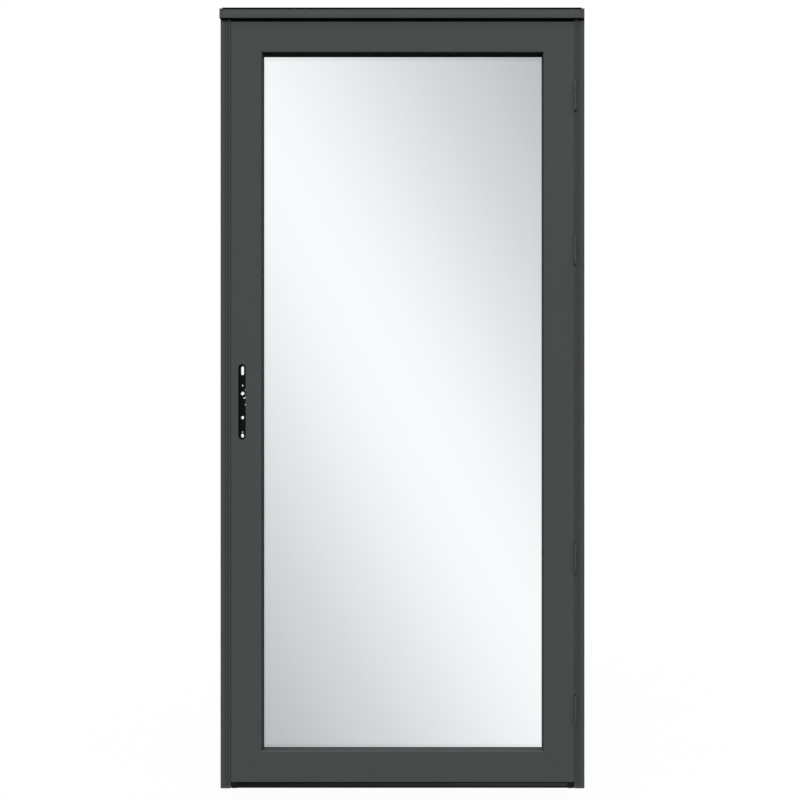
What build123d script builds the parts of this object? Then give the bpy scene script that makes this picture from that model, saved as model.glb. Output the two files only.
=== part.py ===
from build123d import *
import os

# Storm door hung in its own aluminium frame, all sizes in millimetres.
# X runs along the wall, -Y is the outdoor side and Z is up.
# Pieces are drawn from the middle of the sill, with Y = 0 on the casing face,
# and are moved at the end so that the origin lies on the hinge-side flange.

# Frame: one Z-shaped bar at each side and one across the head
opening_width = 915.0
opening_height = 2025.0
nose_width = 21.0
head_nose = 15.0
nose_depth = 12.0
nose_wall = 2.5
frame_wall = 1.6
frame_leg = 34.6
jamb_stop = 14.0
head_stop = 20.0
nose_radius = 0.8
nose_relief_height = 3.6
groove_depth = 1.7
groove_inner = 2.6
groove_inner_width = 2.4
groove_outer = 8.1
groove_outer_width = 1.8
frame_screw_radius = 2.5
frame_screw_depth = 22.0
jamb_screws = 4
jamb_screw_first = 400.0
jamb_screw_pitch = 405.0
head_screws = 2
head_screw_pitch = 500.0

# Drip cap over the head
cap_height = 29.0
cap_reach = 20.0
cap_front = 24.7
cap_drop = 2.5
cap_wall = 1.6
cap_edge = 0.9
cap_groove_height = 2.3
cap_groove_depth = 8.0
cap_lean = 3.0
cap_lean_start = 9.0
cap_overhang = 0.1
cap_shift = 1.3
cap_end_thickness = 7.0
cap_end_drop = 0.6
cap_end_lower = 2.2

# Weatherstrip on the stops
kerf_width = 5.0
kerf_lip = 1.0
kerf_height = 1.4
seal_bulb_width = 8.0
seal_wall = 0.9
seal_gap = 0.3
kerf_clearance = 0.1

# Flexible strips that close the gaps beside the leaf, set back from its face
strip_set_back = 0.4
strip_depth = 6.0
strip_radius = 0.6
strip_gap_hinge = 0.4
strip_gap_latch = 0.7
strip_top_gap = 4.0
strip_hinge_gap = 3.0

# Foot plugs: they close the nose of each side bar and the gap beside the leaf at the sill
foot_height = 6.0
foot_radius = 3.0
foot_tab_width = 5.6
foot_tab_height = 12.0
foot_tab_length = 24.0

# Leaf
leaf_gap_hinge = 6.2
leaf_gap_latch = 6.8
leaf_gap_head = 9.0
leaf_gap_sill = 16.6
leaf_thickness = 38.0
member_width = 82.0
member_wall = 1.8
member_radius = 0.6
lip_bevel = 2.9
rebate_width = 12.0
lip_depth = 30.0
inner_web = 1.4
inner_web_place = 60.0

# Glazing
gasket_thickness = 1.5
gasket_width = 7.0
gasket_proud = 0.3
glass_thickness = 4.0
glass_edge_gap = 1.5
retainer_proud = 2.0
retainer_set_back = 1.0
retainer_bevel = 1.6
retainer_side_gap = 0.3

# Bottom channel and its sweep
channel_width = 36.0
channel_height = 11.0
channel_wall = 1.5
channel_neck_height = 2.4
channel_neck_inset = 3.5
channel_end_gap = 0.6
sweep_fin = 1.6
sweep_fin_inset = 0.9
sweep_floor_gap = 0.5
end_block_width = 17.0
end_block_floor_gap = 0.2
end_block_radius = 2.0

# Hinges
hinge_from_bottom = 188.0
hinge_from_top = 196.0
hinge_pair_pitch = 402.0
hinge_length = 76.0
knuckle_count = 3
knuckle_radius = 2.6
knuckle_gap = 0.4
knuckle_inset = 2.2
knuckle_stand_off = 3.0
hinge_plate = 1.8
hinge_plate_depth = 32.0
hinge_plate_gap = 0.5
pin_radius = 1.3
pin_fit = 0.12
pin_head_radius = 2.3
pin_head_height = 1.4

# Mortise lock in the latch-side stile
lock_height = 1016.0
lock_setback = 28.7
slot_width = 19.7
slot_height = 198.4
faceplate_width = 22.0
faceplate_height = 240.0
faceplate_thickness = 2.5
faceplate_fit = 0.2
case_depth = 44.0
case_height = 206.0
case_thickness = 15.0
hub_radius = 7.5
hub_square = 9.2
hub_fit = 0.1
hub_across = -1.4
hub_offset = 22.6
arc_slot_radius = 12.8
arc_slot_width = 3.6
arc_slot_start = 283.0
arc_slot_sweep = 24.0
cylinder_radius = 4.6
cylinder_offset = -41.1
bolt_height = 16.0
bolt_width = 11.0
bolt_length = 14.0
bolt_offset = -8.0
bolt_fit = 0.3
strike_thickness = 0.8
strike_width = 21.0
strike_height = 130.0

# Small round holes through the lock case: across and up from the slot's middle, radius
case_holes = [
    (-1.6, 43.4, 2.75),
    (6.3, 31.5, 2.1),
    (6.3, -6.9, 2.5),
    (-1.6, -79.2, 2.3),
]
# Upright slots through the lock case: across, up, width, height
case_slots = [
    (-1.6, 82.8, 9.3, 24.0),
    (-1.6, -88.9, 9.2, 10.8),
]

half_opening = opening_width / 2
half_frame = half_opening + nose_width
front_y = -nose_depth
leaf_left = -half_opening + leaf_gap_latch
leaf_right = half_opening - leaf_gap_hinge
leaf_top = opening_height - leaf_gap_head
leaf_bottom = leaf_gap_sill
leaf_width = leaf_right - leaf_left
leaf_height = leaf_top - leaf_bottom
leaf_back_y = front_y + leaf_thickness
stop_face_y = frame_leg - frame_wall
glass_front_y = front_y + lip_depth + gasket_thickness
glass_back_y = glass_front_y + glass_thickness
glass_inset = member_width - rebate_width + glass_edge_gap
pin_x = leaf_right + knuckle_inset
pin_y = front_y - knuckle_stand_off
slot_x = leaf_left + lock_setback
hub_x = slot_x + hub_across
far = 10.0

jamb_screw_heights = [jamb_screw_first + i * jamb_screw_pitch for i in range(jamb_screws)]
head_screw_places = [(i - (head_screws - 1) / 2) * head_screw_pitch for i in range(head_screws)]

hinge_centres = [
    leaf_bottom + hinge_from_bottom,
    leaf_bottom + hinge_from_bottom + hinge_pair_pitch,
    leaf_top - hinge_from_top - hinge_pair_pitch,
    leaf_top - hinge_from_top,
]

# The origin: middle of the hinge-side flange, on the face that meets the casing
origin_x = half_opening + (frame_wall + nose_width) / 2
origin_z = opening_height / 2

# Section planes whose local x runs into the leaf and whose local y runs indoors
leaf_planes = {
    "hinge": Plane(origin=(leaf_right, front_y, leaf_top), x_dir=(-1, 0, 0), z_dir=(0, 0, -1)),
    "latch": Plane(origin=(leaf_left, front_y, leaf_bottom), x_dir=(1, 0, 0), z_dir=(0, 0, 1)),
    "top": Plane(origin=(leaf_left, front_y, leaf_top), x_dir=(0, 0, -1), z_dir=(1, 0, 0)),
    "bottom": Plane(origin=(leaf_right, front_y, leaf_bottom), x_dir=(0, 0, 1), z_dir=(-1, 0, 0)),
}
leaf_runs = {"hinge": leaf_height, "latch": leaf_height, "top": leaf_width, "bottom": leaf_width}


def block(x0, x1, y0, y1, z0, z1):
    # A box between six planes
    return Pos(x0, y0, z0) * Box(x1 - x0, y1 - y0, z1 - z0, align=(Align.MIN,) * 3)


def area(x0, x1, y0, y1):
    # A flat rectangle between four lines
    return Pos(x0, y0) * Rectangle(x1 - x0, y1 - y0, align=(Align.MIN, Align.MIN))


def across_y(x, z, radius):
    # A round cutter that runs through the door from front to back
    return Pos(x, 0, z) * Rot(90, 0, 0) * Cylinder(radius, 4 * leaf_thickness)


def slot_cutter(x, z, width, height):
    # An upright slot with round ends that runs through the door
    outline = Plane.XZ * Pos(x, z) * SlotOverall(height, width, rotation=90)
    return extrude(outline, amount=4 * leaf_thickness, both=True)


def frame_section(nose, stop):
    # Z-bar: boxed nose in front of the casing, leg into the opening, stop behind the leaf
    outline = area(0, nose, -nose_depth, 0)
    outline = fillet(outline.vertices().sort_by(lambda v: v.X - v.Y)[-1], nose_radius)
    inner = area(frame_wall, nose - frame_wall, nose_wall - nose_depth, -frame_wall)
    section = outline - inner
    for middle, width in ((groove_inner, groove_inner_width), (groove_outer, groove_outer_width)):
        edge = middle - width / 2
        section -= area(edge, edge + width, -nose_depth, groove_depth - nose_depth)
    section += area(0, frame_wall, -frame_wall, frame_leg)
    section += area(-stop, frame_wall, stop_face_y, frame_leg)
    for lip in (-stop, -stop + kerf_lip + kerf_width):
        section += area(lip, lip + kerf_lip, stop_face_y - kerf_height, stop_face_y)
    return section


def seal_section(stop):
    # Hollow bulb on a stem that sits between the two kerf lips
    middle = -stop + kerf_lip + kerf_width / 2
    stem = kerf_width - 2 * kerf_clearance
    tip = leaf_back_y + seal_gap
    base = stop_face_y - kerf_height - kerf_clearance
    rise = base - tip
    bulb = Pos(middle, base) * Ellipse(seal_bulb_width / 2, rise)
    bulb -= Pos(middle, base) * Ellipse(seal_bulb_width / 2 - seal_wall, rise - seal_wall)
    bulb &= area(middle - seal_bulb_width, middle + seal_bulb_width, tip - far, base)
    foot = area(middle - seal_bulb_width / 2, middle + seal_bulb_width / 2, base - seal_wall, base)
    root = area(middle - stem / 2, middle + stem / 2, base - seal_wall, stop_face_y)
    return bulb + foot + root


def jamb_bar(side):
    # side is 1 at the hinges and -1 at the latch
    bar = extrude(Pos(half_opening, 0) * frame_section(nose_width, jamb_stop), amount=opening_height)
    bar -= block(half_opening, half_frame, front_y, 0, 0, foot_height)
    # Relief in the nose's face, just under the drip cap's ends
    under_cap = opening_height - cap_drop - cap_end_drop
    bar -= block(half_opening + frame_wall, half_frame - frame_wall, front_y, front_y + nose_wall,
                 under_cap - nose_relief_height, under_cap)
    for height in jamb_screw_heights:
        hole = Rot(0, 90, 0) * Cylinder(frame_screw_radius, 4 * frame_wall)
        bar -= Pos(half_opening, frame_screw_depth, height) * hole
    return bar if side > 0 else mirror(bar, about=Plane.YZ)


def head_bar():
    plane = Plane(origin=(half_frame, 0, opening_height), x_dir=(0, 0, 1), z_dir=(-1, 0, 0))
    bar = extrude(plane * frame_section(head_nose, head_stop), amount=2 * half_frame)
    leg_end = half_opening + frame_wall
    stop_end = half_opening - jamb_stop
    for side in (-1, 1):
        outside = Pos(side * leg_end, 0, 0) * Box(
            nose_width * 2, frame_leg * 2, far * 10,
            align=(Align.MIN if side > 0 else Align.MAX, Align.MIN, Align.CENTER))
        bar -= Pos(0, 0, opening_height) * outside
        below = Box(nose_width * 4, frame_leg * 2, head_stop * 2,
                    align=(Align.MIN if side > 0 else Align.MAX, Align.CENTER, Align.MAX))
        bar -= Pos(side * stop_end, stop_face_y, opening_height) * below
    for place in head_screw_places:
        bar -= Pos(place, frame_screw_depth, opening_height) * Cylinder(frame_screw_radius, 4 * frame_wall)
    return bar


def drip_cap():
    # Back leg that stands on the head bar, low roof, shadow groove and a tall front that hangs down
    top = opening_height + cap_height
    foot = opening_height + head_nose
    roof = opening_height + cap_front
    low = opening_height - cap_drop
    shelf = roof - cap_edge - cap_groove_height
    groove = cap_groove_depth - cap_reach
    inside = cap_wall - cap_reach
    slope = (cap_height - cap_front) / cap_reach
    under = cap_wall * (1 + slope ** 2) ** 0.5
    section = Polygon(
        (0, foot), (0, top), (-cap_reach, roof), (-cap_reach, roof - cap_edge), (groove, roof - cap_edge),
        (groove, shelf), (cap_lean - cap_reach, shelf), (-cap_reach, low + cap_lean_start), (-cap_reach, low),
        (inside, low), (inside, low + cap_lean_start), (inside + cap_lean, shelf - cap_wall),
        (groove + cap_wall, shelf - cap_wall),
        (groove + cap_wall, roof + slope * (groove + cap_wall + cap_reach) - under),
        (-cap_wall, top - slope * cap_wall - under), (-cap_wall, foot), align=None)
    reach = half_frame + cap_overhang - cap_end_thickness
    return Pos(-cap_shift, 0, 0) * extrude(Plane.YZ * section, amount=reach, both=True)


def cap_ends():
    # Flat plates that close both ends of the drip cap and hang a little below it
    foot = opening_height + head_nose
    top = opening_height + cap_height - cap_end_lower
    roof = opening_height + cap_front - cap_end_lower
    low = opening_height - cap_drop - cap_end_drop
    profile = Plane.YZ * Polygon(
        (0, foot), (0, top), (-cap_reach, roof), (-cap_reach, low),
        (-nose_depth, low), (-nose_depth, foot), align=None)
    reach = half_frame + cap_overhang
    right = Pos(reach - cap_end_thickness, 0, 0) * extrude(profile, amount=cap_end_thickness)
    return [Pos(-cap_shift, 0, 0) * end for end in (right, mirror(right, about=Plane.YZ))]


def jamb_seal(side):
    seal = extrude(Pos(half_opening, 0) * seal_section(jamb_stop), amount=opening_height)
    return seal if side > 0 else mirror(seal, about=Plane.YZ)


def head_seal():
    reach = half_opening - jamb_stop - kerf_lip
    plane = Plane(origin=(reach, 0, opening_height), x_dir=(0, 0, 1), z_dir=(-1, 0, 0))
    return extrude(plane * seal_section(head_stop), amount=2 * reach)


def gap_strip(gap, low, top):
    # Strip on the bar's leg, rounded at the front corner beside the leaf
    front = front_y + strip_set_back
    section = area(half_opening - gap, half_opening, front, front + strip_depth)
    corner = section.vertices().sort_by(lambda v: v.X + v.Y)[0]
    return extrude(Pos(0, 0, low) * fillet(corner, strip_radius), amount=top - low)


def latch_strip():
    top = opening_height - strip_top_gap
    strip = gap_strip(leaf_gap_latch - strip_gap_latch, foot_tab_height, top)
    return mirror(strip, about=Plane.YZ)


def hinge_strips():
    # The hinges interrupt the strip, so it has one length between each two of them
    reach = hinge_length / 2 + strip_hinge_gap
    lows = [foot_tab_height] + [height + reach for height in hinge_centres]
    tops = [height - reach for height in hinge_centres] + [opening_height - strip_top_gap]
    return [gap_strip(leaf_gap_hinge - strip_gap_hinge, low, top) for low, top in zip(lows, tops)]


def foot_plugs():
    plug = block(half_opening, half_frame, front_y, 0, 0, foot_height)
    edge = plug.edges().filter_by(Axis.Y).sort_by(lambda e: e.center().X - e.center().Z)[-1]
    plug = fillet(edge, foot_radius)
    tab = block(half_opening - foot_tab_width, half_opening, front_y, front_y + foot_tab_length,
                0, foot_tab_height)
    right = plug + tab
    return [right, mirror(right, about=Plane.YZ)]


def mitre_block(side):
    # Prism that cuts a leaf member along the 45 degree lines of the leaf's corners
    reach = 1.5 * member_width
    left, right = leaf_left, leaf_right
    low, top = leaf_bottom, leaf_top
    outer = {"latch": [(left, low), (left, top)], "hinge": [(right, low), (right, top)],
             "top": [(left, top), (right, top)], "bottom": [(left, low), (right, low)]}[side]
    middle_x, middle_z = (left + right) / 2, (low + top) / 2
    inner = [(x + reach * (1 if x < middle_x else -1), z + reach * (1 if z < middle_z else -1))
             for x, z in reversed(outer)]
    return extrude(Plane.XZ * Polygon(*outer, *inner, align=None), amount=leaf_thickness * 3, both=True)


def mitred(section, side):
    run = extrude(leaf_planes[side] * section, amount=leaf_runs[side])
    return run & mitre_block(side)


def member_section():
    # Hollow box with a bevelled lip in front of the glass and a rebate behind it
    outline = Polygon(
        (0, 0), (member_width - lip_bevel, 0), (member_width, lip_bevel), (member_width, lip_depth),
        (member_width - rebate_width, lip_depth), (member_width - rebate_width, leaf_thickness),
        (0, leaf_thickness), align=None)
    inner = offset(outline, amount=-member_wall, kind=Kind.INTERSECTION)
    outline = fillet(outline.vertices().group_by(Axis.X)[0], member_radius)
    web = area(inner_web_place, inner_web_place + inner_web, member_wall, leaf_thickness - member_wall)
    return outline - inner + web


def latch_stile():
    stile = mitred(member_section(), "latch")
    stile -= slot_cutter(slot_x, lock_height, slot_width, slot_height)
    stile -= block(leaf_left - far, leaf_left + far, plate_y(-1) - faceplate_fit, plate_y(1) + faceplate_fit,
                   lock_height - faceplate_height / 2 - faceplate_fit,
                   lock_height + faceplate_height / 2 + faceplate_fit)
    return stile


def plate_y(side):
    # Front and back edges of the lock's faceplate
    return front_y + leaf_thickness / 2 + side * faceplate_width / 2


def gasket():
    section = area(member_width + gasket_proud - gasket_width, member_width + gasket_proud,
                   lip_depth, lip_depth + gasket_thickness)
    sides = [mitred(section, side) for side in leaf_planes]
    return sides[0] + sides[1] + sides[2] + sides[3]


def glass():
    return block(leaf_left + glass_inset, leaf_right - glass_inset, glass_front_y, glass_back_y,
                 leaf_bottom + glass_inset, leaf_top - glass_inset)


def retainer(side):
    # Snap-in strip that holds the glass from indoors
    low = member_width - rebate_width + retainer_side_gap
    high = member_width - retainer_set_back
    near = lip_depth + gasket_thickness + glass_thickness
    back = leaf_thickness + retainer_proud
    section = Polygon((low, near), (high, near), (high, back - retainer_bevel),
                      (high - retainer_bevel, back), (low, back), align=None)
    return mitred(section, side)


def bottom_channel():
    # Channel that hangs on a narrower neck under the bottom rail, open downward
    middle = front_y + leaf_thickness / 2
    low = leaf_bottom - channel_height
    shoulder = leaf_bottom - channel_neck_height
    left = leaf_left + channel_end_gap + end_block_width
    right = leaf_right - channel_end_gap - end_block_width
    half, neck = channel_width / 2, channel_width / 2 - channel_neck_inset
    body = block(left, right, middle - half, middle + half, low, shoulder)
    body += block(left, right, middle - neck, middle + neck, shoulder, leaf_bottom)
    return body - block(left - far, right + far, middle - half + channel_wall, middle + half - channel_wall,
                        low - far, shoulder - channel_wall)


def sweep():
    # Two flexible fins on one strip that fills the channel's back
    middle = front_y + leaf_thickness / 2
    left = leaf_left + channel_end_gap + end_block_width
    right = leaf_right - channel_end_gap - end_block_width
    top = leaf_bottom - channel_neck_height - channel_wall
    inner = channel_width / 2 - channel_wall
    strip = block(left, right, middle - inner, middle + inner, top - sweep_fin, top)
    for side in (-1, 1):
        place = middle + side * (inner - sweep_fin_inset)
        strip += block(left, right, place - sweep_fin / 2, place + sweep_fin / 2, sweep_floor_gap, top)
    return strip


def end_blocks():
    # Plugs at both ends of the bottom channel
    middle = front_y + leaf_thickness / 2
    low = end_block_floor_gap
    blocks = []
    for start in (leaf_left + channel_end_gap, leaf_right - channel_end_gap - end_block_width):
        plug = block(start, start + end_block_width, middle - channel_width / 2,
                     middle + channel_width / 2, low, leaf_bottom)
        blocks.append(fillet(plug.edges().filter_by(Axis.Y).group_by(Axis.Z)[0], end_block_radius))
    return blocks


def knuckle_spans(first):
    # Heights of every second knuckle, measured from the hinge's middle
    pitch = hinge_length / knuckle_count
    spans = []
    for index in range(first, knuckle_count, 2):
        low = -hinge_length / 2 + index * pitch
        spans.append((low + knuckle_gap / 2, low + pitch - knuckle_gap / 2))
    return spans


def hinge_leaf(height, first, side):
    # side is -1 for the plate on the leaf and 1 for the plate on the frame
    wall = leaf_right if side < 0 else half_opening
    near = wall - side * hinge_plate
    low_x, high_x = min(near, wall), max(near, wall)
    plate_front = pin_y + knuckle_radius + hinge_plate_gap
    leaf = block(low_x, high_x, plate_front, plate_front + hinge_plate_depth,
                 -hinge_length / 2, hinge_length / 2)
    for low, high in knuckle_spans(first):
        leaf += block(low_x, high_x, pin_y, plate_front, low, high)
        barrel = Cylinder(knuckle_radius, high - low, align=(Align.CENTER, Align.CENTER, Align.MIN))
        leaf += Pos(pin_x, pin_y, low) * barrel
    leaf -= Pos(pin_x, pin_y, 0) * Cylinder(pin_radius + pin_fit, 2 * hinge_length)
    return Pos(0, 0, height) * leaf


def hinge_pin(height):
    reach = hinge_length / 2 - knuckle_gap / 2
    pin = Cylinder(pin_radius, 2 * reach)
    for side in (-1, 1):
        head = Cylinder(pin_head_radius, pin_head_height)
        head = chamfer(head.edges().group_by(Axis.Z)[-1 if side > 0 else 0], pin_head_height / 3)
        pin += Pos(0, 0, side * (reach + pin_head_height / 2)) * head
    return Pos(pin_x, pin_y, height) * pin


def thumb_slot():
    # Short curved slot that follows a circle round the hub
    path = CenterArc((0, 0), arc_slot_radius, arc_slot_start, arc_slot_sweep)
    return Plane.XZ * Pos(hub_x, lock_height + hub_offset) * SlotArc(path, arc_slot_width)


def lock_case():
    middle = front_y + leaf_thickness / 2
    start = leaf_left + faceplate_thickness
    case = block(start, start + case_depth, middle - case_thickness / 2, middle + case_thickness / 2,
                 lock_height - case_height / 2, lock_height + case_height / 2)
    for across, up, radius in case_holes:
        case -= across_y(slot_x + across, lock_height + up, radius)
    case -= extrude(thumb_slot(), amount=4 * leaf_thickness, both=True)
    for across, up, width, height in case_slots:
        case -= slot_cutter(slot_x + across, lock_height + up, width, height)
    case -= across_y(hub_x, lock_height + hub_offset, hub_radius + hub_fit)
    case -= across_y(hub_x, lock_height + cylinder_offset, cylinder_radius)
    case -= block(leaf_left, leaf_left + bolt_length + bolt_fit,
                  middle - bolt_width / 2 - bolt_fit, middle + bolt_width / 2 + bolt_fit,
                  lock_height + bolt_offset - bolt_height / 2 - bolt_fit,
                  lock_height + bolt_offset + bolt_height / 2 + bolt_fit)
    return case


def lock_hub():
    # Turning hub with a square hole for the handle's spindle, set on its corner
    hub = across_y(hub_x, lock_height + hub_offset, hub_radius)
    middle = front_y + leaf_thickness / 2
    hub &= block(hub_x - far * 2, hub_x + far * 2, middle - case_thickness / 2,
                 middle + case_thickness / 2, 0, opening_height)
    square = Pos(hub_x, middle, lock_height + hub_offset) * Rot(0, 45, 0) * Box(
        hub_square, case_thickness * 2, hub_square)
    return hub - square


def faceplate():
    low = lock_height - faceplate_height / 2
    plate = block(leaf_left, leaf_left + faceplate_thickness, plate_y(-1), plate_y(1), low,
                  low + faceplate_height)
    middle = front_y + leaf_thickness / 2
    return plate - block(leaf_left - far, leaf_left + far,
                         middle - bolt_width / 2 - bolt_fit, middle + bolt_width / 2 + bolt_fit,
                         lock_height + bolt_offset - bolt_height / 2 - bolt_fit,
                         lock_height + bolt_offset + bolt_height / 2 + bolt_fit)


def latch_bolt():
    # Spring bolt, drawn back flush with the faceplate
    middle = front_y + leaf_thickness / 2
    return block(leaf_left, leaf_left + bolt_length, middle - bolt_width / 2, middle + bolt_width / 2,
                 lock_height + bolt_offset - bolt_height / 2, lock_height + bolt_offset + bolt_height / 2)


def strike_plate():
    middle = front_y + leaf_thickness / 2
    plate = block(-half_opening, -half_opening + strike_thickness, middle - strike_width / 2,
                  middle + strike_width / 2, lock_height - strike_height / 2, lock_height + strike_height / 2)
    return plate - block(-half_opening - far, -half_opening + far,
                         middle - bolt_width / 2 - 1, middle + bolt_width / 2 + 1,
                         lock_height + bolt_offset - bolt_height / 2 - 1,
                         lock_height + bolt_offset + bolt_height / 2 + 1)


def save(name, solids):
    # One file for each node, moved so that the origin lies on the hinge-side flange
    pieces = solids if isinstance(solids, list) else [solids]
    shift = Pos(-origin_x, 0, -origin_z)
    moved = [shift * solid for piece in pieces for solid in piece.solids()]
    export_step(moved[0] if len(moved) == 1 else Compound(children=moved), f"parts/{name}.step")


os.makedirs("parts", exist_ok=True)

save("hinge_jamb", jamb_bar(1))
save("latch_jamb", jamb_bar(-1))
save("head_bar", head_bar())
save("drip_cap", drip_cap())
save("cap_end_plates", cap_ends())
save("hinge_side_seal", jamb_seal(1))
save("latch_side_seal", jamb_seal(-1))
save("head_seal", head_seal())
save("foot_plugs", foot_plugs())
save("hinge_gap_strips", hinge_strips())
save("latch_gap_strip", latch_strip())
save("strike_plate", strike_plate())
save("hinge_stile", mitred(member_section(), "hinge"))
save("latch_stile", latch_stile())
save("top_rail", mitred(member_section(), "top"))
save("bottom_rail", mitred(member_section(), "bottom"))
save("glass_gasket", gasket())
save("glass", glass())
for side in leaf_planes:
    save(f"{side}_retainer", retainer(side))
save("bottom_channel", bottom_channel())
save("sweep", sweep())
save("channel_end_blocks", end_blocks())
save("lock_case", lock_case())
save("lock_hub", lock_hub())
save("lock_faceplate", faceplate())
save("latch_bolt", latch_bolt())
for number, height in enumerate(hinge_centres, start=1):
    save(f"hinge_{number}_frame_leaf", hinge_leaf(height, 0, 1))
    save(f"hinge_{number}_door_leaf", hinge_leaf(height, 1, -1))
    save(f"hinge_{number}_pin", hinge_pin(height))
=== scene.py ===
import math

import bmesh
import bpy
from mathutils import Matrix, Vector


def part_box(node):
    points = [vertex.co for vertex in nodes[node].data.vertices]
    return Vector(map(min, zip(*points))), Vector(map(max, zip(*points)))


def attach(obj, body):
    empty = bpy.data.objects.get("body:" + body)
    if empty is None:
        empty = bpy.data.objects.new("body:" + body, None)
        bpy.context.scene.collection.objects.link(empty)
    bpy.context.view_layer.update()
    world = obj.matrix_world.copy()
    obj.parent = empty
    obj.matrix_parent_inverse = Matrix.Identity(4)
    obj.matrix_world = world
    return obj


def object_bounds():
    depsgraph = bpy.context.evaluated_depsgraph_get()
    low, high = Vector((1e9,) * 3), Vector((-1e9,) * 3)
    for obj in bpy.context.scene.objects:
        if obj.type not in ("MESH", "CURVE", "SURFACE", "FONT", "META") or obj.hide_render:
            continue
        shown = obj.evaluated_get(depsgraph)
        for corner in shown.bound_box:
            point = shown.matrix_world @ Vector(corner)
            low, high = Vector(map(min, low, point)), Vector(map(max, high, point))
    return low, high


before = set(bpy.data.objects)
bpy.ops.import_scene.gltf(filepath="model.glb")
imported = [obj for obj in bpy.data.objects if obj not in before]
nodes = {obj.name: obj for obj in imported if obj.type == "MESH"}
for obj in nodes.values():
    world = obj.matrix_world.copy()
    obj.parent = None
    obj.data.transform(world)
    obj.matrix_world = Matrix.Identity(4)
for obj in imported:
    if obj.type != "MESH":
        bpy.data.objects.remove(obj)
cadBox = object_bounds()
mm = 0.001
hingeNumbers = [1, 2, 3, 4]
print("frame loaded:", len(nodes), "nodes")


def corners(node):
    low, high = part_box(node)
    return Vector(low), Vector(high)


# small helpers for shader trees

def addNode(tree, kind, values=None, **settings):
    node = tree.nodes.new(kind)
    for key, value in settings.items():
        setattr(node, key, value)
    for key, value in (values or {}).items():
        node.inputs[key].default_value = value
    return node


def newGroup(name, inputs, outputs):
    tree = bpy.data.node_groups.new(name, "ShaderNodeTree")
    for socketName, kind, value in inputs:
        socket = tree.interface.new_socket(socketName, in_out="INPUT", socket_type=kind)
        socket.default_value = value
    for socketName, kind in outputs:
        tree.interface.new_socket(socketName, in_out="OUTPUT", socket_type=kind)
    return tree, tree.nodes.new("NodeGroupInput"), tree.nodes.new("NodeGroupOutput")


def objectPoint(tree, scale):
    # Object coordinates, stretched so that a pattern can run along one axis
    place = addNode(tree, "ShaderNodeTexCoord")
    mapping = addNode(tree, "ShaderNodeMapping", {"Scale": scale})
    tree.links.new(place.outputs["Object"], mapping.inputs["Vector"])
    return mapping.outputs["Vector"]


powderLook = {
    "peelScale": 900.0,       # orange peel
    "cloudScale": 5.0,        # slow change of tone along a bar
    "cloud": 0.04,            # how strong that change is
    "lineHeight": 0.35,       # die lines in the bump, beside the peel
    "specular": 0.012,
    "bump": 0.25,
    "bumpDepth": 0.12 * mm,
}


def buildPowderCoat(look):
    # Sprayed and baked paint: fine orange peel, cloudy tone and faint die lines of the bar under it
    tree, ins, outs = newGroup(
        "powderCoat",
        [("Paint", "NodeSocketColor", (0.05, 0.05, 0.05, 1)), ("Cloud", "NodeSocketFloat", look["cloud"]),
         ("Roughness", "NodeSocketFloat", 0.5), ("Peel Scale", "NodeSocketFloat", look["peelScale"]),
         ("Line Vector", "NodeSocketVector", (0, 0, 0))],
        [("Color", "NodeSocketColor"), ("Roughness", "NodeSocketFloat"), ("Height", "NodeSocketFloat")])
    link = tree.links.new
    point = objectPoint(tree, (1, 1, 1))
    peel = addNode(tree, "ShaderNodeTexNoise", {"Detail": 2.0, "Roughness": 0.5})
    link(point, peel.inputs["Vector"])
    link(ins.outputs["Peel Scale"], peel.inputs["Scale"])
    cloud = addNode(tree, "ShaderNodeTexNoise", {"Scale": look["cloudScale"], "Detail": 3.0,
                                                 "Roughness": 0.6})
    link(point, cloud.inputs["Vector"])
    lines = addNode(tree, "ShaderNodeTexNoise", {"Scale": 1.0, "Detail": 2.0, "Roughness": 0.6})
    link(ins.outputs["Line Vector"], lines.inputs["Vector"])
    # tone = 1 + Cloud * (cloud + lines - 1)
    both = addNode(tree, "ShaderNodeMath", operation="ADD")
    link(cloud.outputs["Fac"], both.inputs[0])
    link(lines.outputs["Fac"], both.inputs[1])
    centred = addNode(tree, "ShaderNodeMath", {1: 1.0}, operation="SUBTRACT")
    link(both.outputs[0], centred.inputs[0])
    tone = addNode(tree, "ShaderNodeMath", {2: 1.0}, operation="MULTIPLY_ADD")
    link(centred.outputs[0], tone.inputs[0])
    link(ins.outputs["Cloud"], tone.inputs[1])
    color = addNode(tree, "ShaderNodeVectorMath", operation="SCALE")
    link(ins.outputs["Paint"], color.inputs[0])
    link(tone.outputs[0], color.inputs["Scale"])
    rough = addNode(tree, "ShaderNodeMath", operation="MULTIPLY")
    link(ins.outputs["Roughness"], rough.inputs[0])
    link(tone.outputs[0], rough.inputs[1])
    height = addNode(tree, "ShaderNodeMath", {1: look["lineHeight"]}, operation="MULTIPLY_ADD")
    link(lines.outputs["Fac"], height.inputs[0])
    link(peel.outputs["Fac"], height.inputs[2])
    link(color.outputs[0], outs.inputs["Color"])
    link(rough.outputs[0], outs.inputs["Roughness"])
    link(height.outputs[0], outs.inputs["Height"])
    return tree


softLook = {
    "grainScale": 700.0,
    "patchScale": 14.0,       # patches of pale bloom
    "leastTone": 0.9,         # between the patches
    "specular": 0.03,
    "bump": 0.3,
    "bumpDepth": 0.2 * mm,
}


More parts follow.
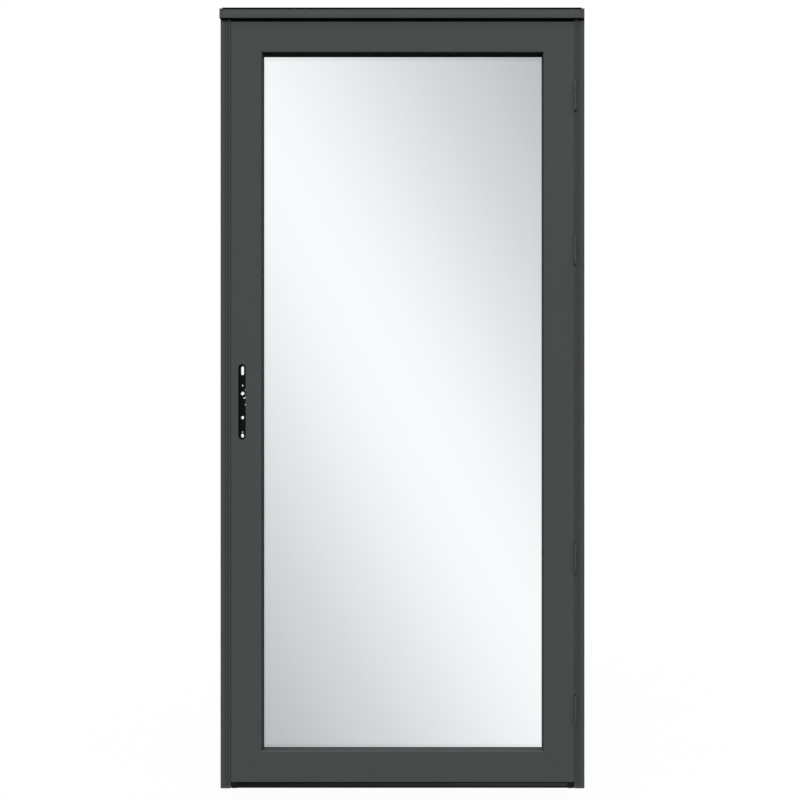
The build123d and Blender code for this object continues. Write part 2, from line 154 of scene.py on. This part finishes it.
def buildSoftGrain(look):
    # Extruded vinyl and moulded plastic: fine grain and pale bloom in patches
    tree, ins, outs = newGroup(
        "softGrain",
        [("Base", "NodeSocketColor", (0.02, 0.02, 0.02, 1)), ("Bloom", "NodeSocketFloat", 0.2),
         ("Scale", "NodeSocketFloat", look["grainScale"])],
        [("Color", "NodeSocketColor"), ("Height", "NodeSocketFloat")])
    link = tree.links.new
    point = objectPoint(tree, (1, 1, 1))
    grain = addNode(tree, "ShaderNodeTexNoise", {"Detail": 3.0, "Roughness": 0.6})
    link(point, grain.inputs["Vector"])
    link(ins.outputs["Scale"], grain.inputs["Scale"])
    patches = addNode(tree, "ShaderNodeTexNoise", {"Scale": look["patchScale"], "Detail": 4.0,
                                                   "Roughness": 0.65})
    link(point, patches.inputs["Vector"])
    tone = addNode(tree, "ShaderNodeMath", {2: look["leastTone"]}, operation="MULTIPLY_ADD")
    link(patches.outputs["Fac"], tone.inputs[0])
    link(ins.outputs["Bloom"], tone.inputs[1])
    color = addNode(tree, "ShaderNodeVectorMath", operation="SCALE")
    link(ins.outputs["Base"], color.inputs[0])
    link(tone.outputs[0], color.inputs["Scale"])
    link(color.outputs[0], outs.inputs["Color"])
    link(grain.outputs["Fac"], outs.inputs["Height"])
    return tree


steelLook = {
    "scratches": (2600, 2600, 30),   # fine across, long along Z
    "toneSpread": 0.4,
    "specular": 0.5,
    "bump": 0.15,
    "bumpDepth": 0.05 * mm,
}


def buildBrushed(look):
    # Plated steel with fine upright scratches
    tree, ins, outs = newGroup(
        "brushedSteel",
        [("Base", "NodeSocketColor", (0.5, 0.5, 0.5, 1)), ("Roughness", "NodeSocketFloat", 0.35)],
        [("Color", "NodeSocketColor"), ("Roughness", "NodeSocketFloat"), ("Height", "NodeSocketFloat")])
    link = tree.links.new
    scratches = addNode(tree, "ShaderNodeTexNoise", {"Scale": 1.0, "Detail": 4.0, "Roughness": 0.7})
    link(objectPoint(tree, look["scratches"]), scratches.inputs["Vector"])
    spread = look["toneSpread"]
    tone = addNode(tree, "ShaderNodeMath", {1: spread, 2: 1.0 - spread / 2}, operation="MULTIPLY_ADD")
    link(scratches.outputs["Fac"], tone.inputs[0])
    color = addNode(tree, "ShaderNodeVectorMath", operation="SCALE")
    link(ins.outputs["Base"], color.inputs[0])
    link(tone.outputs[0], color.inputs["Scale"])
    rough = addNode(tree, "ShaderNodeMath", operation="MULTIPLY")
    link(ins.outputs["Roughness"], rough.inputs[0])
    link(tone.outputs[0], rough.inputs[1])
    link(color.outputs[0], outs.inputs["Color"])
    link(rough.outputs[0], outs.inputs["Roughness"])
    link(scratches.outputs["Fac"], outs.inputs["Height"])
    return tree


def buildPaintedShadeFade():
    # Paints shade and sheen: darkens or lightens a colour evenly between two places along a direction, and
    # holds it beyond them
    tree, ins, outs = newGroup(
        "paintedShadeFade",
        [("Color", "NodeSocketColor", (0.05, 0.05, 0.05, 1)), ("Along", "NodeSocketVector", (0, 0, 1)),
         ("Start", "NodeSocketFloat", 0.0), ("End", "NodeSocketFloat", 1.0),
         ("Start Tone", "NodeSocketFloat", 1.0), ("End Tone", "NodeSocketFloat", 1.0)],
        [("Color", "NodeSocketColor")])
    link = tree.links.new
    place = addNode(tree, "ShaderNodeVectorMath", operation="DOT_PRODUCT")
    link(objectPoint(tree, (1, 1, 1)), place.inputs[0])
    link(ins.outputs["Along"], place.inputs[1])
    tone = addNode(tree, "ShaderNodeMapRange")
    link(place.outputs["Value"], tone.inputs["Value"])
    link(ins.outputs["Start"], tone.inputs["From Min"])
    link(ins.outputs["End"], tone.inputs["From Max"])
    link(ins.outputs["Start Tone"], tone.inputs["To Min"])
    link(ins.outputs["End Tone"], tone.inputs["To Max"])
    color = addNode(tree, "ShaderNodeVectorMath", operation="SCALE")
    link(ins.outputs["Color"], color.inputs[0])
    link(tone.outputs["Result"], color.inputs["Scale"])
    link(color.outputs[0], outs.inputs["Color"])
    return tree


powderCoat = buildPowderCoat(powderLook)
softGrain = buildSoftGrain(softLook)
brushedSteel = buildBrushed(steelLook)
paintedShadeFade = buildPaintedShadeFade()
print("shared finishes built")


# materials

def newMaterial(name, specular, values=None):
    material = bpy.data.materials.new(name)
    material.use_nodes = True
    tree = material.node_tree
    shader = tree.nodes["Principled BSDF"]
    shader.inputs["Specular IOR Level"].default_value = specular
    for key, value in (values or {}).items():
        shader.inputs[key].default_value = value
    return material, tree, shader


def placeGroup(tree, group, values):
    node = addNode(tree, "ShaderNodeGroup", node_tree=group)
    for key, value in values.items():
        node.inputs[key].default_value = value
    return node


def addBump(tree, shader, height, look):
    bump = addNode(tree, "ShaderNodeBump", {"Strength": look["bump"], "Distance": look["bumpDepth"]})
    tree.links.new(height, bump.inputs["Height"])
    tree.links.new(bump.outputs["Normal"], shader.inputs["Normal"])


def paintMaterial(name, coat, lineScale, specular=powderLook["specular"], fades=()):
    paint, roughness = coats[coat]
    material, tree, shader = newMaterial(name, specular)
    sprayed = placeGroup(tree, powderCoat, {"Paint": (*paint, 1), "Cloud": powderLook["cloud"],
                                            "Roughness": roughness})
    link = tree.links.new
    link(objectPoint(tree, lineScale), sprayed.inputs["Line Vector"])
    color = sprayed.outputs["Color"]
    for fade in fades:
        shade = placeGroup(tree, paintedShadeFade, fade)
        link(color, shade.inputs["Color"])
        color = shade.outputs["Color"]
    link(color, shader.inputs["Base Color"])
    link(sprayed.outputs["Roughness"], shader.inputs["Roughness"])
    addBump(tree, shader, sprayed.outputs["Height"], powderLook)
    return material


def softMaterial(name, base, roughness, bloom):
    material, tree, shader = newMaterial(name, softLook["specular"], {"Roughness": roughness})
    grain = placeGroup(tree, softGrain, {"Base": (*base, 1), "Bloom": bloom})
    tree.links.new(grain.outputs["Color"], shader.inputs["Base Color"])
    addBump(tree, shader, grain.outputs["Height"], softLook)
    return material


def steelMaterial(name, base, roughness):
    material, tree, shader = newMaterial(name, steelLook["specular"], {"Metallic": 1.0})
    brushed = placeGroup(tree, brushedSteel, {"Base": (*base, 1), "Roughness": roughness})
    tree.links.new(brushed.outputs["Color"], shader.inputs["Base Color"])
    tree.links.new(brushed.outputs["Roughness"], shader.inputs["Roughness"])
    addBump(tree, shader, brushed.outputs["Height"], steelLook)
    return material


paneReflectionLook = {
    "bandNormal": (0.873, 0.0, 0.488),   # across the painted reflection band, in the plane of the pane
    "bandAside": 0.012,                  # metres from the middle of the pane to the band
    "reach": 0.78,                       # metres from the band to the darkest corner
    "steps": [(0.0, 0.955), (0.15, 0.925), (0.30, 0.853), (0.45, 0.770), (0.60, 0.683), (0.75, 0.607),
              (0.90, 0.529), (1.0, 0.480)],
    "reflectionBandTint": (0.985, 1.0, 1.012),
    "reflectionCornerTint": (0.957, 1.003, 1.04),  # the painted dark corners of the reflection lean to blue
    "specular": 0.5,
    "ior": 1.5,
}


def glassMaterial(look):
    # Clear pane whose tint deepens away from a broad slanting band, a painted reflection in the base colour
    material, tree, shader = newMaterial("clearPanePaintedReflection", look["specular"], {
        "Roughness": 0.0, "IOR": look["ior"], "Transmission Weight": 1.0, "Metallic": 0.0})
    link = tree.links.new
    low, high = corners("glass")
    middle = (low + high) / 2
    place = addNode(tree, "ShaderNodeTexCoord")
    centred = addNode(tree, "ShaderNodeVectorMath", {1: tuple(middle)}, operation="SUBTRACT")
    link(place.outputs["Object"], centred.inputs[0])
    across = addNode(tree, "ShaderNodeVectorMath", {1: look["bandNormal"]}, operation="DOT_PRODUCT")
    link(centred.outputs[0], across.inputs[0])
    aside = addNode(tree, "ShaderNodeMath", {1: look["bandAside"]}, operation="SUBTRACT")
    link(across.outputs["Value"], aside.inputs[0])
    away = addNode(tree, "ShaderNodeMath", operation="ABSOLUTE")
    link(aside.outputs[0], away.inputs[0])
    share = addNode(tree, "ShaderNodeMath", {1: look["reach"]}, operation="DIVIDE")
    link(away.outputs[0], share.inputs[0])
    ramp = addNode(tree, "ShaderNodeValToRGB")
    stops = ramp.color_ramp.elements
    while len(stops) < len(look["steps"]):
        stops.new(0.5)
    for stop, (position, tone) in zip(stops, look["steps"]):
        stop.position = position
        tints = zip(look["reflectionBandTint"], look["reflectionCornerTint"])
        stop.color = (*(min(1.0, tone * (near + (far - near) * position)) for near, far in tints), 1)
    link(share.outputs[0], ramp.inputs["Fac"])
    # the ramp's painted reflection goes into the base colour
    link(ramp.outputs["Color"], shader.inputs["Base Color"])
    return material


upright, level, plain = (420, 420, 3), (3, 420, 420), (60, 60, 60)   # die lines along Z, along X, or none
coats = {                    # colour and roughness of each sprayed or anodised finish
    "leaf": ((0.0585, 0.0655, 0.0640), 0.65),
    "frame": ((0.0560, 0.0625, 0.0610), 0.65),
    "cap": ((0.0605, 0.0670, 0.0652), 0.6),
    "hinge": ((0.0600, 0.0670, 0.0660), 0.55),
    "lock": ((0.0060, 0.0060, 0.0060), 0.55),
    "channel": ((0.0190, 0.0200, 0.0195), 0.6),
}
revealShadeLook = {               # painted shade on the lip beside the glass: how far from its edge it begins and is full
    "latch_stile": {"toGlass": (1, 0, 0), "begins": 2.9 * mm, "full": 2.3 * mm, "tone": 0.70},
    "hinge_stile": {"toGlass": (-1, 0, 0), "begins": 2.9 * mm, "full": 2.3 * mm, "tone": 0.70},
    "top_rail": {"toGlass": (0, 0, -1), "begins": 2.2 * mm, "full": 0.8 * mm, "tone": 0.35},
}
channelSheenShadeLook = {
    "latchTone": 0.42,       # painted sheen and shade: duller at the latch end, brighter at the hinge end
    "hingeTone": 1.62,
    "neck": 2.4 * mm,        # painted shade: the dark strip under the rail
    "neckBlend": 0.4 * mm,
    "neckTone": 0.35,
}


# Painted shade on the lip of a stile or the top rail, darkening towards the glass
def revealPaintedShade(node):
    look = revealShadeLook[node]
    toGlass = Vector(look["toGlass"])
    edge = max(toGlass.dot(corner) for corner in corners(node))
    return {"Along": toGlass, "Start": edge - look["begins"], "End": edge - look["full"],
            "End Tone": look["tone"]}


# Painted sheen along the channel, and painted shade in a strip under the rail
def channelPaintedSheenShade(look):
    low, high = corners("bottom_channel")
    neck = high.z - look["neck"]
    return [{"Along": (1, 0, 0), "Start": low.x, "End": high.x, "Start Tone": look["latchTone"],
             "End Tone": look["hingeTone"]},
            {"Along": (0, 0, 1), "Start": neck - look["neckBlend"] / 2, "End": neck + look["neckBlend"] / 2,
             "End Tone": look["neckTone"]}]


paints = {
    "leafUpright": paintMaterial("leafPaintUpright", "leaf", upright),
    "leafLevel": paintMaterial("leafPaintLevel", "leaf", level),
    # leaf paint with painted shade on the lip beside the glass
    "leafLatchShaded": paintMaterial("leafPaintLatchRevealShade", "leaf", upright, fades=[revealPaintedShade("latch_stile")]),
    "leafHingeShaded": paintMaterial("leafPaintHingeRevealShade", "leaf", upright, fades=[revealPaintedShade("hinge_stile")]),
    "leafTopShaded": paintMaterial("leafPaintTopRevealShade", "leaf", level, fades=[revealPaintedShade("top_rail")]),
    "frameUpright": paintMaterial("framePaintUpright", "frame", upright),
    "frameLevel": paintMaterial("framePaintLevel", "frame", level),
    "cap": paintMaterial("capPaint", "cap", level),
    "hinge": paintMaterial("hingePaint", "hinge", plain),
    "lock": paintMaterial("lockBlack", "lock", plain, specular=0.06),
    "channel": paintMaterial("channelAnodisedPaintedSheenShade", "channel", level, fades=channelPaintedSheenShade(channelSheenShadeLook)),
}
softs = {
    "seal": softMaterial("sealVinyl", (0.009, 0.009, 0.009), 0.7, 0.3),
    # gap strip vinyl, its colour set darker than the frame paint as painted shade of the gap beside the leaf
    "strip": softMaterial("stripVinylPaintedShade", (0.0490, 0.0545, 0.0535), 0.7, 0.15),
    "foot": softMaterial("footPlastic", (0.0618, 0.0680, 0.0665), 0.55, 0.15),
    "end": softMaterial("endPlastic", (0.0088, 0.0096, 0.0093), 0.6, 0.2),
    "sweep": softMaterial("sweepVinyl", (0.0150, 0.0158, 0.0155), 0.7, 0.2),
}
steels = {
    "plate": steelMaterial("platedSteel", (0.42, 0.42, 0.41), 0.38),
    "screw": steelMaterial("screwSteel", (0.30, 0.31, 0.31), 0.35),
}
finishes = {
    "hinge_jamb": paints["frameUpright"], "latch_jamb": paints["frameUpright"],
    "head_bar": paints["frameLevel"], "drip_cap": paints["cap"], "cap_end_plates": paints["cap"],
    "hinge_side_seal": softs["seal"], "latch_side_seal": softs["seal"], "head_seal": softs["seal"],
    "foot_plugs": softs["foot"], "hinge_gap_strips": softs["strip"], "latch_gap_strip": softs["strip"],
    "hinge_stile": paints["leafHingeShaded"], "latch_stile": paints["leafLatchShaded"],
    "top_rail": paints["leafTopShaded"], "bottom_rail": paints["leafLevel"],
    "hinge_retainer": paints["leafUpright"], "latch_retainer": paints["leafUpright"],
    "top_retainer": paints["leafLevel"], "bottom_retainer": paints["leafLevel"],
    "glass_gasket": softs["seal"], "glass": glassMaterial(paneReflectionLook), "sweep": softs["sweep"],
    "bottom_channel": paints["channel"], "channel_end_blocks": softs["end"],
    "lock_case": paints["lock"], "lock_hub": paints["lock"], "lock_faceplate": steels["plate"],
    "latch_bolt": steels["plate"], "strike_plate": steels["plate"],
}
sharpNodes = ("glass", "glass_gasket", "lock_case", "lock_hub", "sweep")   # no rounded edges
edgeLook = {
    "round": 0.3 * mm,
    "segments": 2,
    "sharpAngle": 50,         # degrees, above which an edge is rounded
    "flatAngle": 0.5,         # degrees, below which triangles join into one face first
    "weld": 0.01 * mm,
}


def finishNode(name, node, look):
    material = finishes.get(name, paints["hinge"])
    node.data.materials.clear()
    node.data.materials.append(material)
    if name in sharpNodes:
        return
    weld = node.modifiers.new("weld", "WELD")
    weld.merge_threshold = look["weld"]
    flat = node.modifiers.new("flat", "DECIMATE")
    flat.decimate_type = "DISSOLVE"
    flat.angle_limit = math.radians(look["flatAngle"])
    bevel = node.modifiers.new("softEdges", "BEVEL")
    bevel.width = look["round"]
    bevel.segments = look["segments"]
    bevel.limit_method = "ANGLE"
    bevel.angle_limit = math.radians(look["sharpAngle"])


for name, node in nodes.items():
    finishNode(name, node, edgeLook)
print("CAD nodes finished")


# screws, made once and copied to every place

screwLook = {
    "headRadius": 4.2 * mm,
    "sides": 24,
    "rim": 0.45 * mm,
    "crown": 0.35 * mm,
    "crownSteps": (0.35, 0.45),   # shares of the crown's height that each ring rises
    "crownSlope": 0.7,            # how far in each ring goes for its share
    "slotLength": 4.6 * mm,
    "slotWidth": 0.9 * mm,
    "slotDepth": 0.5 * mm,
    "slotRise": 0.7,              # share of the crown's height at which the cross lies
}


def screwHead(look):
    # Low oval head with a cross recess, on the XY plane and facing +Z
    piece = bmesh.new()
    bmesh.ops.create_circle(piece, cap_ends=True, segments=look["sides"], radius=look["headRadius"])
    rim = bmesh.ops.extrude_face_region(piece, geom=piece.faces[:])
    top = [item for item in rim["geom"] if isinstance(item, bmesh.types.BMVert)]
    bmesh.ops.translate(piece, vec=(0, 0, look["rim"]), verts=top)
    lid = max(piece.faces, key=lambda face: face.calc_center_median().z)
    for share in look["crownSteps"]:
        bmesh.ops.inset_region(piece, faces=[lid], depth=look["crown"] * share,
                               thickness=look["headRadius"] * share * look["crownSlope"])
    for turn in (0, math.pi / 2):
        bar = bmesh.new()
        bmesh.ops.create_cube(bar, size=1.0)
        bmesh.ops.scale(bar, vec=(look["slotLength"], look["slotWidth"], look["slotDepth"]), verts=bar.verts)
        bmesh.ops.rotate(bar, matrix=Matrix.Rotation(turn, 3, "Z"), verts=bar.verts)
        bmesh.ops.translate(bar, vec=(0, 0, look["rim"] + look["crown"] * look["slotRise"]), verts=bar.verts)
        mesh = bpy.data.meshes.new("recess")
        bar.to_mesh(mesh)
        bar.free()
        piece.from_mesh(mesh)
        bpy.data.meshes.remove(mesh)
    bmesh.ops.recalc_face_normals(piece, faces=piece.faces)
    return piece


def joinCopies(name, maker, places, material, body):
    # places holds (point, direction that the piece faces, turn about that direction)
    whole = bmesh.new()
    for point, facing, turn in places:
        piece = maker()
        direction = Vector(facing).to_track_quat("Z", "Y").to_matrix()
        bmesh.ops.rotate(piece, matrix=direction @ Matrix.Rotation(turn, 3, "Z"), verts=piece.verts)
        bmesh.ops.translate(piece, vec=point, verts=piece.verts)
        mesh = bpy.data.meshes.new(name)
        piece.to_mesh(mesh)
        piece.free()
        whole.from_mesh(mesh)
        bpy.data.meshes.remove(mesh)
    mesh = bpy.data.meshes.new(name)
    whole.to_mesh(mesh)
    whole.free()
    piece = bpy.data.objects.new(name, mesh)
    bpy.context.scene.collection.objects.link(piece)
    mesh.materials.append(material)
    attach(piece, body)


hardware = {
    "plateFaces": {"frame": (2.2 * mm, -1), "door": (-0.4 * mm, 1)},   # from the pin's axis, and facing
    "plateRows": [(-26 * mm, 13 * mm), (0.0, 27 * mm), (26 * mm, 13 * mm)],   # up, and in from the axis
    "jambHoles": [400 * mm, 805 * mm, 1210 * mm, 1615 * mm],
    "headHoles": 250 * mm,      # either side of the middle
    "legDepth": 22 * mm,
    "noseWidth": 21.0 * mm,
    "headNose": 15 * mm,
    "plateScrew": 12 * mm,      # from the ends of the faceplate and the strike
}
screwTurns = {                  # radians, so that no two slots stand quite alike
    "perHinge": 0.7,
    "perRise": 40,              # for each metre up the plate
    "hingeJamb": 0.4,
    "latchJamb": 1.1,
    "head": 0.6,
    "perHeight": 9,             # for each metre of height, on the faceplate and the strike
}


def hingePlateScrews(side):
    # Three screws in each hinge plate, on the face that looks into the gap
    away, facing = hardware["plateFaces"][side]
    places = []
    for number in hingeNumbers:
        low, high = corners(f"hinge_{number}_pin")
        axis = (low + high) / 2
        for rise, depth in hardware["plateRows"]:
            point = axis + Vector((away, depth, rise))
            turn = number * screwTurns["perHinge"] + rise * screwTurns["perRise"]
            places.append((point, (facing, 0, 0), turn))
    return places


def barScrews():
    # Heads in the holes of the bars' legs
    low, high = corners("hinge_jamb")
    latchLow = corners("latch_jamb")[0]
    depth, width = hardware["legDepth"], hardware["noseWidth"]
    places = []
    for index, height in enumerate(hardware["jambHoles"]):
        z = low.z + height
        places.append((Vector((high.x - width, depth, z)), (-1, 0, 0), screwTurns["hingeJamb"] + index))
        places.append((Vector((latchLow.x + width, depth, z)), (1, 0, 0), screwTurns["latchJamb"] + index))
    middle = (high.x + latchLow.x) / 2
    head = corners("head_bar")[1].z - hardware["headNose"]
    for side in (-1, 1):
        point = Vector((middle + side * hardware["headHoles"], depth, head))
        places.append((point, (0, 0, -1), side * screwTurns["head"]))
    return places


def plateScrews(node, facing):
    # One screw near each end of the strike or the lock's faceplate
    low, high = corners(node)
    x = high.x if facing > 0 else low.x
    y = (low.y + high.y) / 2
    inset, turn = hardware["plateScrew"], screwTurns["perHeight"]
    return [(Vector((x, y, z)), (facing, 0, 0), z * turn) for z in (low.z + inset, high.z - inset)]


joinCopies("frame_screws", lambda: screwHead(screwLook),
           hingePlateScrews("frame") + barScrews() + plateScrews("strike_plate", 1),
           steels["screw"], "frame")
joinCopies("leaf_hinge_screws", lambda: screwHead(screwLook),
           hingePlateScrews("door") + plateScrews("lock_faceplate", -1),
           steels["screw"], "door_leaf")
print("screws placed")


# buttons on the lower ends of the hinge pins

pinTipLook = {"radius": 2.3 * mm, "height": 2.2 * mm, "edge": 0.8 * mm, "edgeSteps": 3, "sides": 24}


def pinTip(look):
    # Stands on the XY plane and faces +Z, with a rounded rim
    piece = bmesh.new()
    bmesh.ops.create_cone(piece, cap_ends=True, segments=look["sides"], radius1=look["radius"],
                          radius2=look["radius"], depth=look["height"])
    bmesh.ops.translate(piece, vec=(0, 0, look["height"] / 2), verts=piece.verts)
    rim = [edge for edge in piece.edges if min(vert.co.z for vert in edge.verts) > look["height"] / 2]
    bmesh.ops.bevel(piece, geom=rim, offset=look["edge"], offset_type="OFFSET", affect="EDGES",
                    segments=look["edgeSteps"], profile=0.5, material=-1)
    bmesh.ops.recalc_face_normals(piece, faces=piece.faces)
    return piece


def pinTipPlaces():
    # Under the lowest knuckle of each hinge, on the pin's axis
    places = []
    for number in hingeNumbers:
        low, high = corners(f"hinge_{number}_pin")
        underside = corners(f"hinge_{number}_frame_leaf")[0].z
        places.append((Vector(((low.x + high.x) / 2, (low.y + high.y) / 2, underside)), (0, 0, -1), 0.0))
    return places


joinCopies("hinge_pin_tips", lambda: pinTip(pinTipLook), pinTipPlaces(), paints["hinge"], "frame")
print("pin tips placed")


# floor, backdrop, light and camera

def seenDirectly(tree):
    # 1 for what the camera sees straight, in gloss and through glass, 0 for the light on the object
    path = addNode(tree, "ShaderNodeLightPath")
    some = addNode(tree, "ShaderNodeMath", operation="MAXIMUM")
    seen = addNode(tree, "ShaderNodeMath", operation="MAXIMUM")
    early = addNode(tree, "ShaderNodeMath", {1: 0.5}, operation="LESS_THAN")
    straight = addNode(tree, "ShaderNodeMath", operation="MULTIPLY")
    link = tree.links.new
    link(path.outputs["Is Camera Ray"], some.inputs[0])
    link(path.outputs["Is Transmission Ray"], some.inputs[1])
    link(some.outputs[0], seen.inputs[0])
    link(path.outputs["Is Glossy Ray"], seen.inputs[1])
    link(path.outputs["Diffuse Depth"], early.inputs[0])   # light that leaves matt paint through the pane
    link(seen.outputs[0], straight.inputs[0])
    link(early.outputs[0], straight.inputs[1])
    return straight.outputs[0]


stageLook = {
    "dome": 1.8,                     # light from the whole sky
    "key": 0.5,                      # sun, high in front of the door
    "keyPlace": (-0.8, -3.0, 3.0),   # from the middle of the picture
    "keySpread": 30,                 # degrees, for soft shadows
    "floorReach": 30,
    "floorGap": 0.2 * mm,
    "floorTone": 0.52,               # what shows of the floor's shadows
    "floorBounce": 0.04,             # what the floor throws back at the door
    "floorGlow": 0.93,               # how much of the floor's look is plain white
}


def floorMaterial(look):
    # White to look at with faint shadows, but dark to the light that bounces
    material = bpy.data.materials.new("paleFloor")
    material.use_nodes = True
    tree = material.node_tree
    link = tree.links.new
    tree.nodes.clear()
    out = addNode(tree, "ShaderNodeOutputMaterial")
    seen = seenDirectly(tree)
    tone = addNode(tree, "ShaderNodeMapRange", {"To Min": look["floorBounce"], "To Max": look["floorTone"]})
    matt = addNode(tree, "ShaderNodeBsdfDiffuse")
    glow = addNode(tree, "ShaderNodeEmission", {"Color": (1, 1, 1, 1), "Strength": 1.0})
    part = addNode(tree, "ShaderNodeMath", {1: look["floorGlow"]}, operation="MULTIPLY")
    mix = addNode(tree, "ShaderNodeMixShader")
    link(seen, tone.inputs["Value"])
    link(tone.outputs["Result"], matt.inputs["Color"])
    link(seen, part.inputs[0])
    link(part.outputs[0], mix.inputs["Fac"])
    link(matt.outputs[0], mix.inputs[1])
    link(glow.outputs[0], mix.inputs[2])
    link(mix.outputs[0], out.inputs["Surface"])
    return material


def makeFloor(look):
    floorMesh = bmesh.new()
    bmesh.ops.create_grid(floorMesh, x_segments=1, y_segments=1, size=look["floorReach"])
    low = Vector(cadBox[0])
    bmesh.ops.translate(floorMesh, vec=(low.x, 0, low.z - look["floorGap"]), verts=floorMesh.verts)
    mesh = bpy.data.meshes.new("floor")
    floorMesh.to_mesh(mesh)
    floorMesh.free()
    floor = bpy.data.objects.new("floor", mesh)
    bpy.context.scene.collection.objects.link(floor)
    mesh.materials.append(floorMaterial(look))


def makeWorld(look):
    world = bpy.data.worlds.new("studio")
    bpy.context.scene.world = world
    world.use_nodes = True
    tree = world.node_tree
    link = tree.links.new
    tree.nodes.clear()
    out = addNode(tree, "ShaderNodeOutputWorld")
    back = addNode(tree, "ShaderNodeBackground", {"Color": (1, 1, 1, 1)})
    strength = addNode(tree, "ShaderNodeMapRange", {"To Min": look["dome"], "To Max": 1.0})
    link(seenDirectly(tree), strength.inputs["Value"])
    link(strength.outputs["Result"], back.inputs["Strength"])
    link(back.outputs[0], out.inputs["Surface"])


def makeSun(look, target):
    sun = bpy.data.lights.new("keySun", "SUN")
    sun.energy = look["key"]
    sun.angle = math.radians(look["keySpread"])
    holder = bpy.data.objects.new("keySun", sun)
    away = Vector(look["keyPlace"])
    holder.location = target + away
    holder.rotation_euler = (-away).to_track_quat("-Z", "Y").to_euler()
    bpy.context.scene.collection.objects.link(holder)


shot = {
    "distance": 2.75,         # from the face of the leaf
    "width": 2.103,           # what the picture spans there
    "aside": -0.0066,         # middle of the picture, right of the door's middle
    "height": 1.021,          # middle of the picture, above the sill
    "right": 0.08,            # the camera stands right of that point
    "below": 0.07,            # and below it, with the lens shifted back
    "sensor": 36.0,
}


def makeCamera(look):
    low, high = corners("latch_jamb")[0], corners("hinge_jamb")[1]
    face = corners("hinge_stile")[0].y
    x = (low.x + high.x) / 2 + look["aside"]
    z = low.z + look["height"]
    data = bpy.data.cameras.new("camera")
    data.sensor_width = look["sensor"]
    data.lens = look["sensor"] * look["distance"] / look["width"]
    data.shift_x = -look["right"] / look["width"]
    data.shift_y = look["below"] / look["width"]
    camera = bpy.data.objects.new("camera", data)
    camera.location = (x + look["right"], face - look["distance"], z - look["below"])
    camera.rotation_euler = (math.pi / 2, 0, 0)
    bpy.context.scene.collection.objects.link(camera)
    bpy.context.scene.camera = camera
    return Vector((x, face, z))


aim = makeCamera(shot)
makeFloor(stageLook)
makeWorld(stageLook)
makeSun(stageLook, aim)
bpy.context.scene.view_settings.view_transform = "Standard"
print("stage set")
